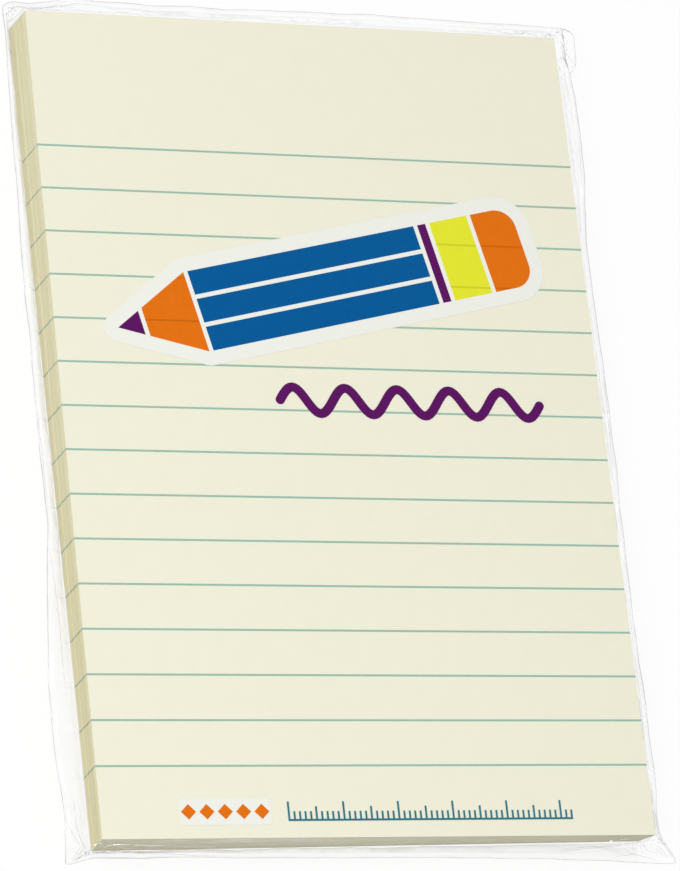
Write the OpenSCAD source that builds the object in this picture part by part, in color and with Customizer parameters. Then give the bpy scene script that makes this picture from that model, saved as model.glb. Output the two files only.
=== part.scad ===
// Lined sticky note pad, sealed in clear shrink film with a printed front.
// The pad lies on its back: +Z comes out of the writing face and +Y points to the
// glued edge, the head. The origin is under the middle of the writing face, on the
// plane that the pack rests on. The stack is slightly skewed, so its last sheet has
// slipped and turned against the first one.

/* [Pad] */
// Width of a sheet
pad_w = 101; // [76:1:150]
// Height of a sheet, from its free edge to its glued edge
pad_l = 150; // [120:1:210]
// Number of sheets in the block
sheets = 100; // [60:5:150]
// Thickness of one sheet
sheet_t = 0.106; // [0.09:0.002:0.13]
// Thickness of the backing sheet that covers the adhesive of the last note
backing_t = 0.12; // [0.08:0.02:0.3]

/* [Skew of the stack] */
// Slip of the last sheet to the right
slip_x = 0.3; // [0:0.1:0.8]
// Slip of the last sheet towards the head
slip_y = 0.9; // [0:0.1:1.2]
// Turn of the last sheet about its left head corner, in degrees
stack_turn = 0.5; // [0:0.1:0.6]

/* [Ruling] */
// Distance from the head to the first ruled line
head_margin = 25.4; // [15:0.1:35]
// Least distance from the last ruled line to the foot
foot_margin = 12; // [8:1:25]
// Spacing of the ruled lines
line_pitch = 8; // [6:0.5:12]
// Width of a ruled line
line_w = 0.35; // [0.2:0.05:0.8]
// Thickness of every coat of ink, on paper or on film
ink_t = 0.02; // [0.01:0.01:0.05]

/* [Film] */
// Thickness of the shrink film
film_t = 0.03; // [0.02:0.01:0.06]
// Room that the film's bend leaves outside an edge of the stack
bend_gap = 0.15; // [0.1:0.05:0.3]
// Reach of the seam past the left side, near the head
skirt_left_head = 2.5; // [2:0.1:5]
// Reach of the seam past the left side, near the foot
skirt_left_foot = 4.6; // [2.5:0.1:6]
// Reach of the seam past the right side, near the head
skirt_right_head = 4.9; // [3:0.1:6]
// Reach of the seam past the right side, near the foot
skirt_right_foot = 3.5; // [3:0.1:6]
// Reach of the seam past the head, near its left corner
skirt_head_left = 4.2; // [3:0.1:6]
// Reach of the seam past the head, near its right corner
skirt_head_right = 4.8; // [3.5:0.1:6]
// Reach of the seam past the foot, near its left corner
skirt_foot_left = 2.1; // [2:0.1:5]
// Reach of the seam past the foot, near its right corner
skirt_foot_right = 3.5; // [2:0.1:5]
// Width of the welded edge of the film
weld_w = 0.8; // [0.4:0.1:1.2]
// Depth by which the film sags between the stack and the seam
sag = 0.45; // [0:0.05:0.6]
// Depth of the gathers in the film at the corners
gather = 0.3; // [0:0.05:0.4]
// Radius of the vent in the back of the film
vent_r = 1.2; // [0.6:0.1:2]

/* [Film ears] */
// Extra reach of the ear at the left head corner
ear_head_left = 0.4; // [0:0.1:3]
// Extra reach of the ear at the right head corner
ear_head_right = 2; // [0:0.1:4]
// Extra reach of the ear at the right foot corner
ear_foot_right = 2.9; // [0:0.1:4]
// Extra reach of the ear at the left foot corner
ear_foot_left = 0.8; // [0:0.1:3]
// Length of an ear along the side of the pad
ear_run = 8; // [5:0.5:12]

/* [Printed pencil] */
// Distance of the pencil's middle from the head
pencil_drop = 50; // [45:1:60]
// Room between the pencil's ends and the sides of the pad
pencil_margin = 10.5; // [9:0.5:14]
// Width of the pencil
pencil_w = 15; // [10:1:16]
// Tilt of the pencil, in degrees
pencil_tilt = 13; // [0:1:16]
// Length of the sharpened cone
cone_l = 15; // [10:1:18]
// Length of the lead at the point
lead_l = 4.5; // [3:0.5:6]
// Width of the stripe between the body and the metal band
stripe_w = 1.6; // [1:0.1:3]
// Length of the metal band
band_l = 7.5; // [6:0.5:10]
// Length of the end piece
end_l = 8; // [7:1:10]
// Gap between neighbouring fields of colour
field_gap = 0.8; // [0.4:0.1:1.2]
// Width of the pale ground that shows around the pencil
halo = 2.6; // [1:0.1:3]

/* [Printed wave] */
// Distance of the wave's middle line from the head
wave_drop = 71.5; // [68:0.5:80]
// Length of the wave
wave_l = 49; // [30:1:60]
// Height of the wave's crests over its middle line
wave_h = 2.4; // [1:0.1:3]
// Number of crests
wave_n = 5; // [3:1:7]
// Width of the wave's stroke
wave_w = 1.7; // [1:0.1:2]
// Room between the wave and the right side of the pad
wave_margin = 12; // [8:0.5:14]

/* [Printed foot] */
// Distance of the foot print's middle from the foot
foot_print_rise = 4.6; // [4:0.1:6]
// Room between the small pale patch and the left side of the pad
patch_margin = 14; // [8:0.5:16]
// Width of the small pale patch
patch_w = 16.4; // [16:0.2:20]
// Height of the small pale patch
patch_h = 4.6; // [4:0.1:6]
// Width of one diamond on the patch
diamond_w = 2.7; // [2:0.1:3]
// Number of diamonds
diamonds = 5; // [3:1:5]
// Room between the patch and the printed scale
scale_gap = 3; // [2:0.5:8]
// Room between the scale and the right side of the pad
scale_margin = 15; // [10:0.5:20]
// Spacing of the marks on the scale
mark_pitch = 1; // [1:0.5:2]
// Width of a mark
mark_w = 0.35; // [0.2:0.05:0.5]
// Height of the longest marks
mark_h = 3.4; // [2.5:0.1:4]

/* [Hidden] */

// Heights, from the plane that the pack rests on
backing_z = film_t;
block_z = backing_z + backing_t;
face_z = block_z + sheets * sheet_t;
cover_z = face_z + ink_t;
top_z = cover_z + film_t;
seam_z = top_z / 2;

line_count = floor((pad_l - head_margin - foot_margin) / line_pitch) + 1;

// Distances from a corner of the seam at which the film has stations, and their
// spacing along the rest of a side
near_corner = [0, 1.5, 3, 5, 8];
station_step = 10;
// The seam rises and falls by this much along a side, once in seam_wave_l
seam_wave_h = 0.35;
seam_wave_l = 60;
// Gathers die out this far from a corner
gather_run = 30;
// Shares of the way from the stack to the weld at which the film has rings
tent_steps = [0.3, 0.65];
// Place of the vent
vent = [pad_w / 4, -pad_l / 4];

// Places on the print, from the middle of the writing face
pencil_y = pad_l / 2 - pencil_drop;
wave_x = pad_w / 2 - wave_margin - wave_l / 2;
wave_y = pad_l / 2 - wave_drop;
foot_y = -pad_l / 2 + foot_print_rise;
patch_x = -pad_w / 2 + patch_margin + patch_w / 2;
scale_x = patch_x + patch_w / 2 + scale_gap;
marks = floor((pad_w / 2 - scale_margin - scale_x) / mark_pitch);

// Places along the pencil, from its point
pencil_l = pad_w - 2 * pencil_margin;
end_x = pencil_l - end_l;
band_x = end_x - field_gap - band_l;
stripe_x = band_x - field_gap - stripe_w;
body_x = cone_l + field_gap;
body_l = stripe_x - field_gap - body_x;
body_strips = 3;
end_r = pencil_w / 4;

// Heights of the long, middle and short marks of the scale, as shares of mark_h
mark_shares = [1, 0.75, 0.5];
// Points along one crest of the wave, and round a full circle
crest_steps = 24;
round_steps = 48;

function mix(a, b, t) = a + (b - a) * t;
function ease(t) = let (c = min(max(t, 0), 1)) c * c * (3 - 2 * c);

// A point of the first sheet's plan, carried to its place on the last sheet
function on_last(p) = let (c = cos(stack_turn), s = sin(stack_turn),
        x = p[0] + pad_w / 2, y = p[1] - pad_l / 2)
    [x * c - y * s - pad_w / 2 + slip_x, x * s + y * c + pad_l / 2 + slip_y];

// Corners of the stack's plan and of the seam's plan, anticlockwise from the left
// corner of the foot, with the sides foot, right, head and left between them
edge_x = pad_w / 2 + bend_gap;
edge_y = pad_l / 2 + bend_gap;
stack_corners = [[-edge_x, -edge_y], [edge_x, -edge_y], [edge_x, edge_y], [-edge_x, edge_y]];
seam_corners = [
    [-pad_w / 2 - skirt_left_foot, -pad_l / 2 - skirt_foot_left],
    [pad_w / 2 + skirt_right_foot, -pad_l / 2 - skirt_foot_right],
    [pad_w / 2 + skirt_right_head, pad_l / 2 + skirt_head_right],
    [-pad_w / 2 - skirt_left_head, pad_l / 2 + skirt_head_left]];
// How far the ear at each corner pulls the seam along X
ear_pull = [-ear_foot_left, ear_foot_right, ear_head_right, -ear_head_left];

function side_l(side) = norm(seam_corners[(side + 1) % 4] - seam_corners[side]);

// Shares of the way along a side at which the film has stations
function shares(side) = let (l = side_l(side), from = near_corner[len(near_corner) - 1],
        n = ceil((l - 2 * from) / station_step))
    concat([for (d = near_corner) d / l],
        [for (k = [1:n - 1]) (from + k * (l - 2 * from) / n) / l],
        [for (k = [len(near_corner) - 1:-1:1]) 1 - near_corner[k] / l]);

// Stations all the way round: side, share of the way along it, distances to its two
// corners, and a sign that alternates the gathers
stations = [for (side = [0:3]) let (list = shares(side), l = side_l(side))
    for (k = [0:len(list) - 1]) [side, list[k], list[k] * l, (1 - list[k]) * l, k % 2 == 0 ? 1 : -1]];

function ear(corner, d) = [ear_pull[corner] * (1 - ease(d / ear_run)), 0];
function along(corners, s) = mix(corners[s[0]], corners[(s[0] + 1) % 4], s[1]);
function stack_plan(s) = along(stack_corners, s);
function seam_plan(s) = along(seam_corners, s) + ear(s[0], s[2]) + ear((s[0] + 1) % 4, s[3]);
function weld_plan(s) = let (a = stack_plan(s), b = seam_plan(s)) b + (a - b) * weld_w / norm(a - b);
function seam_height(s) = seam_z + seam_wave_h * sin(360 * s[2] / seam_wave_l);
function gathered(s) = gather * s[4] * ease(1 - min(s[2], s[3]) / gather_run);

// A point of the film at share t of the way from the stack's edge to the weld. Side is
// -1 on the front, where the film sags down, and 1 on the back.
function tent(s, t, edge, edge_z, side, lift) = let (p = mix(edge, weld_plan(s), t),
        bow = (sag + gathered(s)) * sin(180 * t))
    [p[0], p[1], mix(edge_z, seam_height(s), t) + side * (bow - lift)];

// Rings of the film's outer face, with lift film_t, or of its inner face, with lift 0:
// from the writing face down to the weld, and from the weld down to the vent
function front_rings(lift) = concat(
    [[for (s = stations) let (p = stack_plan(s)) [p[0], p[1], cover_z + lift]]],
    [for (t = tent_steps) [for (s = stations) tent(s, t, stack_plan(s), cover_z, -1, lift)]]);
function back_rings(lift) = concat(
    [for (t = reversed(tent_steps)) [for (s = stations)
        tent(s, t, on_last(stack_plan(s)), film_t, 1, lift)]],
    [[for (s = stations) let (p = on_last(stack_plan(s))) [p[0], p[1], film_t - lift]]],
    [[for (s = stations) let (p = vent_rim(s)) [p[0], p[1], film_t - lift]]]);
function seam_ring(plan, lift) = [for (k = [0:len(stations) - 1])
    [plan[k][0], plan[k][1], seam_height(stations[k]) + lift]];
function vent_rim(s) = let (d = on_last(stack_plan(s)) - vent) vent + d * vent_r / norm(d);
function reversed(list) = [for (k = [len(list) - 1:-1:0]) list[k]];

// A closed skin through rings of equal numbers of points, each end closed by a fan
// round the middle of its ring. From ring turn on, the skin runs back under its first
// rings, and its quads are split along the same diagonals as those above them.
module skin(rings, turn) {
    n = len(rings[0]);
    points = concat([for (ring = rings) for (p = ring) p],
        [middle(rings[0]), middle(rings[len(rings) - 1])]);
    last = len(rings) * n;
    polyhedron(points, [for (i = [0:n - 1]) let (j = (i + 1) % n) each concat(
        [[last, j, i], [last + 1, last - n + i, last - n + j]],
        [for (r = [0:len(rings) - 2]) let (a = r * n + i, b = r * n + j)
            each r < turn ? [[a, b, b + n], [a, b + n, a + n]]
                : [[a, b, a + n], [b, b + n, a + n]]])], convexity = 6);
}
function middle(ring, k = 0) = k == len(ring) ? [0, 0, 0] : ring[k] / len(ring) + middle(ring, k + 1);

// A sheet's plan at the place of the first sheet, or of the last one
module first_sheet(t) {
    translate([-pad_w / 2, -pad_l / 2, 0]) cube([pad_w, pad_l, t]);
}

module last_sheet(t) {
    translate([slip_x - pad_w / 2, slip_y + pad_l / 2, 0]) rotate(stack_turn)
        translate([0, -pad_l, 0]) cube([pad_w, pad_l, t]);
}

// All sheets of the pad, glued at the head, as one block
module note_block() color([0.94, 0.93, 0.85]) {
    hull() {
        translate([0, 0, face_z - sheet_t]) first_sheet(sheet_t);
        translate([0, 0, block_z]) last_sheet(sheet_t);
    }
}

// Plain sheet under the block
module backing_sheet() color([0.95, 0.95, 0.93]) {
    translate([0, 0, backing_z]) last_sheet(backing_t);
}

// Ruled lines on the first sheet, from edge to edge
module ruled_lines() color([0.52, 0.70, 0.60]) {
    for (k = [0:line_count - 1])
        translate([-pad_w / 2, pad_l / 2 - head_margin - k * line_pitch - line_w / 2, face_z])
            cube([pad_w, line_w, ink_t]);
}

// Clear film: flat over both faces, tented off the sides to a welded seam, and pierced
// at the back so that air can leave. Its skin runs over the outer face, through the vent
// and back over the inner face.
module film_wrap() color([0.88, 0.92, 0.95, 0.35]) {
    weld = [for (s = stations) weld_plan(s)];
    edge = [for (s = stations) seam_plan(s)];
    outer = concat(front_rings(film_t),
        [seam_ring(weld, film_t), seam_ring(edge, film_t)],
        [seam_ring(edge, -film_t), seam_ring(weld, -film_t)],
        back_rings(film_t));
    inner = concat(reversed(back_rings(0)), [seam_ring(weld, 0)], reversed(front_rings(0)));
    skin(concat(outer, inner), len(outer));
}

// The pencil lies along +X from its point, with its middle line on y = 0
module pencil_place() {
    translate([0, pencil_y]) rotate(pencil_tilt) translate([-pencil_l / 2, 0]) children();
}

module pencil_outline() {
    cone_slice(0, cone_l);
    translate([cone_l, -pencil_w / 2]) square([end_x - cone_l, pencil_w]);
    end_piece();
}

// The end piece has two rounded corners
module end_piece() {
    translate([end_x, -pencil_w / 2]) square([end_l - end_r, pencil_w]);
    translate([end_x, -pencil_w / 2 + end_r]) square([end_l, pencil_w - 2 * end_r]);
    for (side = [-1, 1]) translate([pencil_l - end_r, side * (pencil_w / 2 - end_r)])
        circle(end_r, $fn = round_steps);
}

// What lies between two distances from the point, on the sharpened cone
module cone_slice(from, to) {
    half = pencil_w / 2 / cone_l;
    polygon([[from, -from * half], [to, -to * half], [to, to * half], [from, from * half]]);
}

// Pale ground under the pencil and under the row of diamonds
module print_ground() color([0.93, 0.93, 0.91]) {
    translate([0, 0, top_z]) linear_extrude(ink_t) {
        pencil_place() offset(r = halo, $fn = round_steps) pencil_outline();
        translate([patch_x - patch_w / 2, foot_y - patch_h / 2]) square([patch_w, patch_h]);
    }
}

// Three faces of the pencil's body
module print_blue() color([0.0, 0.33, 0.59]) {
    strip_w = (pencil_w - (body_strips - 1) * field_gap) / body_strips;
    translate([0, 0, top_z + ink_t]) linear_extrude(ink_t) pencil_place()
        for (k = [0:body_strips - 1])
            translate([body_x, -pencil_w / 2 + k * (strip_w + field_gap)])
                square([body_l, strip_w]);
}

// Metal band of the pencil
module print_lime() color([0.89, 0.89, 0.22]) {
    translate([0, 0, top_z + ink_t]) linear_extrude(ink_t) pencil_place()
        translate([band_x, -pencil_w / 2]) square([band_l, pencil_w]);
}

// Cone and end of the pencil, and the diamonds at the foot
module print_orange() color([0.89, 0.45, 0.08]) {
    translate([0, 0, top_z + ink_t]) linear_extrude(ink_t) {
        pencil_place() {
            cone_slice(lead_l + field_gap, cone_l);
            end_piece();
        }
        for (k = [0:diamonds - 1])
            translate([patch_x + (k - (diamonds - 1) / 2) * patch_w / diamonds, foot_y])
                diamond(diamond_w / 2);
    }
}

module diamond(r) polygon([[-r, 0], [0, -r], [r, 0], [0, r]]);

// Lead and stripe of the pencil, on the pale ground, and the wave below it on the page
module print_plum() color([0.37, 0.08, 0.43]) {
    translate([0, 0, top_z + ink_t]) linear_extrude(ink_t) pencil_place() {
        cone_slice(0, lead_l);
        translate([stripe_x, -pencil_w / 2]) square([stripe_w, pencil_w]);
    }
    translate([wave_x, wave_y, top_z]) linear_extrude(ink_t) wave();
}

// A stroke of even width along a sine curve
module wave() {
    steps = wave_n * crest_steps;
    function slope(a) = wave_h * 2 * PI * wave_n / wave_l * cos(a);
    function point(k, side) = let (a = 360 * wave_n * k / steps, m = slope(a), d = sqrt(1 + m * m))
        [wave_l * (k / steps - 0.5) - side * m / d, wave_h * sin(a) + side / d];
    polygon(concat([for (k = [0:steps]) point(k, -wave_w / 2)],
        [for (k = [steps:-1:0]) point(k, wave_w / 2)]));
    for (x = [-wave_l / 2, wave_l / 2]) translate([x, 0]) circle(wave_w / 2, $fn = round_steps);
}

// Scale with long, middle and short marks on a base line
module print_teal() color([0.18, 0.45, 0.51]) {
    translate([scale_x, foot_y - mark_h / 2, top_z]) linear_extrude(ink_t) {
        square([marks * mark_pitch + mark_w, mark_w]);
        for (k = [0:marks])
            translate([k * mark_pitch, 0])
                square([mark_w, mark_h * mark_shares[k % 10 == 0 ? 0 : k % 5 == 0 ? 1 : 2]]);
    }
}

note_block();
backing_sheet();
ruled_lines();
film_wrap();
print_ground();
print_blue();
print_lime();
print_orange();
print_plum();
print_teal();
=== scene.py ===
import math

import bmesh
import bpy
from mathutils import Matrix, Vector, noise
from mathutils.bvhtree import BVHTree


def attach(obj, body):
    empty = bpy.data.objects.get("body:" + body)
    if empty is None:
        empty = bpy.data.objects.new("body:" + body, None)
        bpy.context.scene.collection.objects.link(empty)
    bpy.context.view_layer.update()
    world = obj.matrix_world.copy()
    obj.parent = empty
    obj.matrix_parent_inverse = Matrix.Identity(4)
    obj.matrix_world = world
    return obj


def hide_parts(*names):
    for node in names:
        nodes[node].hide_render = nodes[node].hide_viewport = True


# A pad of pale cream lined sticky notes, glued at the head and sealed in clear shrink film
# with a printed front. It lies on its back: +Z out of the writing face, +Y to the head.
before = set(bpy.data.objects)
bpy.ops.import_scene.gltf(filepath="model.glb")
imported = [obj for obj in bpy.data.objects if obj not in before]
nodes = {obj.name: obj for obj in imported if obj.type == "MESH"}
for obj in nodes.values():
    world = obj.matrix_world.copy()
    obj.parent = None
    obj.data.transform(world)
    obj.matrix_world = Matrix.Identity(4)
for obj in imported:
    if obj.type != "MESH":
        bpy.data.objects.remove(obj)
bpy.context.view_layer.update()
scene = bpy.context.scene
scene.view_settings.view_transform = "Standard"
MM = 0.001

# Camera: a long lens that looks down on the pad from its left foot corner, at the place
# and angle that the corners and the ruled lines of the photographed pad give.
lens = bpy.data.cameras.new("camera")
lens.lens = 216.74
lens.sensor_width = 36
lens.sensor_fit = "AUTO"
lens.clip_start = 0.05
lens.clip_end = 20
camera = bpy.data.objects.new("camera", lens)
scene.collection.objects.link(camera)
right = Vector((0.93065, -0.10423, 0.35076))
up = Vector((-0.02049, 0.94223, 0.33435))
back = Vector((-0.36534, -0.31835, 0.87475))
turn = Matrix((right, up, back)).transposed().to_4x4()
camera.matrix_world = Matrix.Translation((-0.3328, -0.2928, 0.80745)) @ turn
scene.camera = camera

# Studio: a pale floor that shows white to the camera and in the film's gloss and still keeps
# a faint soft shadow, under one broad key lamp on the left and an even, low sky.
floor_mesh = bpy.data.meshes.new("floor")
floor_mesh.from_pydata([(-3, -3, 0), (3, -3, 0), (3, 3, 0), (-3, 3, 0)], [], [(0, 1, 2, 3)])
floor = bpy.data.objects.new("floor", floor_mesh)
floor.location.z = -0.0002
scene.collection.objects.link(floor)
mat = bpy.data.materials.new("studio_floor")
mat.use_nodes = True
tree = mat.node_tree
tree.nodes.clear()
out = tree.nodes.new("ShaderNodeOutputMaterial")
path = tree.nodes.new("ShaderNodeLightPath")
tone = tree.nodes.new("ShaderNodeMix")
tone.data_type = "RGBA"
tone.inputs[6].default_value = (0.5, 0.5, 0.5, 1)
tone.inputs[7].default_value = (0.92, 0.92, 0.92, 1)
seen = tree.nodes.new("ShaderNodeMath")
seen.operation = "MAXIMUM"
tree.links.new(path.outputs["Is Camera Ray"], seen.inputs[0])
tree.links.new(path.outputs["Is Glossy Ray"], seen.inputs[1])
tree.links.new(seen.outputs[0], tone.inputs[0])
matte = tree.nodes.new("ShaderNodeBsdfDiffuse")
tree.links.new(tone.outputs[2], matte.inputs["Color"])
glow = tree.nodes.new("ShaderNodeEmission")
glow.inputs["Strength"].default_value = 1
share = tree.nodes.new("ShaderNodeMath")
share.operation = "MULTIPLY"
share.inputs[1].default_value = 0.9
tree.links.new(path.outputs["Is Camera Ray"], share.inputs[0])
white = tree.nodes.new("ShaderNodeMath")
white.operation = "MAXIMUM"
tree.links.new(share.outputs[0], white.inputs[0])
tree.links.new(path.outputs["Is Glossy Ray"], white.inputs[1])
mix = tree.nodes.new("ShaderNodeMixShader")
tree.links.new(white.outputs[0], mix.inputs[0])
tree.links.new(matte.outputs[0], mix.inputs[1])
tree.links.new(glow.outputs[0], mix.inputs[2])
tree.links.new(mix.outputs[0], out.inputs["Surface"])
floor_mesh.materials.append(mat)

key_data = bpy.data.lights.new("key", "AREA")
key_data.shape = "SQUARE"
key_data.size = 0.8
key_data.energy = 10.2
key = bpy.data.objects.new("key", key_data)
key.location = (-0.5, -0.12, 1.04)
key.rotation_euler = Vector(key.location).to_track_quat("Z", "Y").to_euler()
scene.collection.objects.link(key)

world = bpy.data.worlds.new("studio")
scene.world = world
world.use_nodes = True
tree = world.node_tree
tree.nodes.clear()
out = tree.nodes.new("ShaderNodeOutputWorld")
path = tree.nodes.new("ShaderNodeLightPath")
sky = tree.nodes.new("ShaderNodeBackground")
sky.inputs["Color"].default_value = (1, 1, 1, 1)
sky.inputs["Strength"].default_value = 0.42
backdrop = tree.nodes.new("ShaderNodeBackground")
backdrop.inputs["Color"].default_value = (1, 1, 1, 1)
backdrop.inputs["Strength"].default_value = 1
seen = tree.nodes.new("ShaderNodeMath")
seen.operation = "MAXIMUM"
tree.links.new(path.outputs["Is Camera Ray"], seen.inputs[0])
tree.links.new(path.outputs["Is Glossy Ray"], seen.inputs[1])
mix = tree.nodes.new("ShaderNodeMixShader")
tree.links.new(seen.outputs[0], mix.inputs[0])
tree.links.new(sky.outputs[0], mix.inputs[1])
tree.links.new(backdrop.outputs[0], mix.inputs[2])
tree.links.new(mix.outputs[0], out.inputs["Surface"])

# What all the papers share: a cloudy look-through of a few millimetres, and a bump of fine
# fibres that lie mostly along the grain.
fibre = bpy.data.node_groups.new("Paper fibre", "ShaderNodeTree")
fibre.interface.new_socket(name="Relief", in_out="INPUT", socket_type="NodeSocketFloat")
fibre.interface.new_socket(name="Cloud", in_out="OUTPUT", socket_type="NodeSocketFloat")
fibre.interface.new_socket(name="Normal", in_out="OUTPUT", socket_type="NodeSocketVector")
g_in = fibre.nodes.new("NodeGroupInput")
g_out = fibre.nodes.new("NodeGroupOutput")
coords = fibre.nodes.new("ShaderNodeTexCoord")
cloud = fibre.nodes.new("ShaderNodeTexNoise")
cloud.inputs["Scale"].default_value = 320
cloud.inputs["Detail"].default_value = 5
cloud.inputs["Roughness"].default_value = 0.6
fibre.links.new(coords.outputs["Object"], cloud.inputs["Vector"])
fibre.links.new(cloud.outputs["Fac"], g_out.inputs["Cloud"])
grain = fibre.nodes.new("ShaderNodeMapping")
grain.inputs["Scale"].default_value = (5200, 1300, 5200)
fibre.links.new(coords.outputs["Object"], grain.inputs["Vector"])
strands = fibre.nodes.new("ShaderNodeTexNoise")
strands.inputs["Scale"].default_value = 1
strands.inputs["Detail"].default_value = 3
strands.inputs["Distortion"].default_value = 1.5
fibre.links.new(grain.outputs["Vector"], strands.inputs["Vector"])
bump = fibre.nodes.new("ShaderNodeBump")
bump.inputs["Distance"].default_value = 0.00003
fibre.links.new(g_in.outputs["Relief"], bump.inputs["Strength"])
fibre.links.new(strands.outputs["Fac"], bump.inputs["Height"])
fibre.links.new(bump.outputs["Normal"], g_out.inputs["Normal"])

# Backing sheet: smooth off-white release paper that covers the adhesive under the last
# note. It keeps the CAD's solid and has the papers' fibre at a low relief.
backing = nodes["backing_sheet"]
mat = bpy.data.materials.new("release_paper")
mat.use_nodes = True
tree = mat.node_tree
bsdf = tree.nodes["Principled BSDF"]
group = tree.nodes.new("ShaderNodeGroup")
group.node_tree = fibre
group.inputs["Relief"].default_value = 0.15
ramp = tree.nodes.new("ShaderNodeMix")
ramp.data_type = "RGBA"
ramp.inputs[6].default_value = (0.80, 0.80, 0.76, 1)
ramp.inputs[7].default_value = (0.88, 0.88, 0.85, 1)
tree.links.new(group.outputs["Cloud"], ramp.inputs[0])
tree.links.new(ramp.outputs[2], bsdf.inputs["Base Color"])
tree.links.new(group.outputs["Normal"], bsdf.inputs["Normal"])
bsdf.inputs["Roughness"].default_value = 0.45
backing.data.materials.clear()
backing.data.materials.append(mat)

# Notes: a hundred sheets of pale cream paper, each a thin sheet of its own, cut in one
# stroke and slipped a little against each other towards the head and to the right.
sheet_w = 101
sheet_l = 150
slip_x = 0.3
slip_y = 0.9
turn_angle = math.radians(0.5)
head_margin = 25.4
line_pitch = 8
face_mat = bpy.data.materials.new("note_paper")
face_mat.use_nodes = True
tree = face_mat.node_tree
bsdf = tree.nodes["Principled BSDF"]
group = tree.nodes.new("ShaderNodeGroup")
group.node_tree = fibre
group.inputs["Relief"].default_value = 0.25
ramp = tree.nodes.new("ShaderNodeMix")
ramp.data_type = "RGBA"
ramp.inputs[6].default_value = (0.820, 0.806, 0.645, 1)
ramp.inputs[7].default_value = (0.850, 0.836, 0.680, 1)
tree.links.new(group.outputs["Cloud"], ramp.inputs[0])
tree.links.new(ramp.outputs[2], bsdf.inputs["Base Color"])
tree.links.new(group.outputs["Normal"], bsdf.inputs["Normal"])
bsdf.inputs["Roughness"].default_value = 0.85
bsdf.inputs["Specular IOR Level"].default_value = 0.25

# Cut edges look deeper and yellower than the faces, with fine streaks along the cut. Those facing the
# foot and the head are tinted paler and greyer, a painted reflection of the film's pale sheen over
# them.
edge_mat = bpy.data.materials.new("note_paper_edge")
edge_mat.use_nodes = True
tree = edge_mat.node_tree
bsdf = tree.nodes["Principled BSDF"]
coords = tree.nodes.new("ShaderNodeTexCoord")
grain = tree.nodes.new("ShaderNodeMapping")
grain.inputs["Scale"].default_value = (45, 45, 2600)
tree.links.new(coords.outputs["Object"], grain.inputs["Vector"])
streak = tree.nodes.new("ShaderNodeTexNoise")
streak.inputs["Scale"].default_value = 1
streak.inputs["Detail"].default_value = 4
tree.links.new(grain.outputs["Vector"], streak.inputs["Vector"])
ramp = tree.nodes.new("ShaderNodeMix")
ramp.data_type = "RGBA"
ramp.inputs[6].default_value = (0.80, 0.74, 0.43, 1)
ramp.inputs[7].default_value = (0.90, 0.85, 0.52, 1)
tree.links.new(streak.outputs["Fac"], ramp.inputs[0])
facing = tree.nodes.new("ShaderNodeNewGeometry")
sides = tree.nodes.new("ShaderNodeSeparateXYZ")
tree.links.new(facing.outputs["Normal"], sides.inputs[0])
across = tree.nodes.new("ShaderNodeMath")
across.operation = "ABSOLUTE"
tree.links.new(sides.outputs["Y"], across.inputs[0])
# Painted reflection: faces turned to the head or the foot get a paler, bluer tone for the film's sheen
# over them
head_foot_painted_sheen = tree.nodes.new("ShaderNodeMix")
head_foot_painted_sheen.data_type = "RGBA"
head_foot_painted_sheen.blend_type = "MULTIPLY"
head_foot_painted_sheen.inputs[7].default_value = (0.98, 1.0, 1.18, 1)
tree.links.new(across.outputs[0], head_foot_painted_sheen.inputs[0])
tree.links.new(ramp.outputs[2], head_foot_painted_sheen.inputs[6])
tree.links.new(head_foot_painted_sheen.outputs[2], bsdf.inputs["Base Color"])
bsdf.inputs["Roughness"].default_value = 0.9
bsdf.inputs["Specular IOR Level"].default_value = 0.2

# The ends of each sheet's ruled lines, where the ink has run into the cut edge and looks
# greyer than it does on the face.
ink_edge_mat = bpy.data.materials.new("ruling_ink_edge")
ink_edge_mat.use_nodes = True
bsdf = ink_edge_mat.node_tree.nodes["Principled BSDF"]
bsdf.inputs["Base Color"].default_value = (0.30, 0.38, 0.28, 1)
bsdf.inputs["Roughness"].default_value = 0.9

# The stack is one Geometry Nodes tree. Its inputs are the sizes, the slip and turn of the
# whole stack, and how far a single sheet strays.
stack_tree = bpy.data.node_groups.new("Sheet stack", "GeometryNodeTree")
ins = {}
for name, kind, value in (
    ("Sheets", "NodeSocketInt", 100),
    ("Pitch", "NodeSocketFloat", 0.106 * MM),
    ("First height", "NodeSocketFloat", 0.15 * MM),
    ("Width", "NodeSocketFloat", sheet_w * MM),
    ("Length", "NodeSocketFloat", sheet_l * MM),
    ("Slip", "NodeSocketVector", (slip_x * MM, slip_y * MM, 0)),
    ("Turn", "NodeSocketFloat", turn_angle),
    ("Stray", "NodeSocketFloat", 0.04 * MM),
    ("Wander", "NodeSocketFloat", 0.12 * MM),
    ("Lines", "NodeSocketInt", 15),
    ("Head margin", "NodeSocketFloat", head_margin * MM),
    ("Line pitch", "NodeSocketFloat", line_pitch * MM),
    ("Line width", "NodeSocketFloat", 0.35 * MM),
    ("Seed", "NodeSocketInt", 7),
):
    ins[name] = (stack_tree.interface.new_socket(name=name, in_out="INPUT", socket_type=kind), value)
stack_tree.interface.new_socket(name="Geometry", in_out="OUTPUT", socket_type="NodeSocketGeometry")
g = stack_tree.nodes
ln = stack_tree.links.new
g_in = g.new("NodeGroupInput")
g_out = g.new("NodeGroupOutput")

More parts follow.
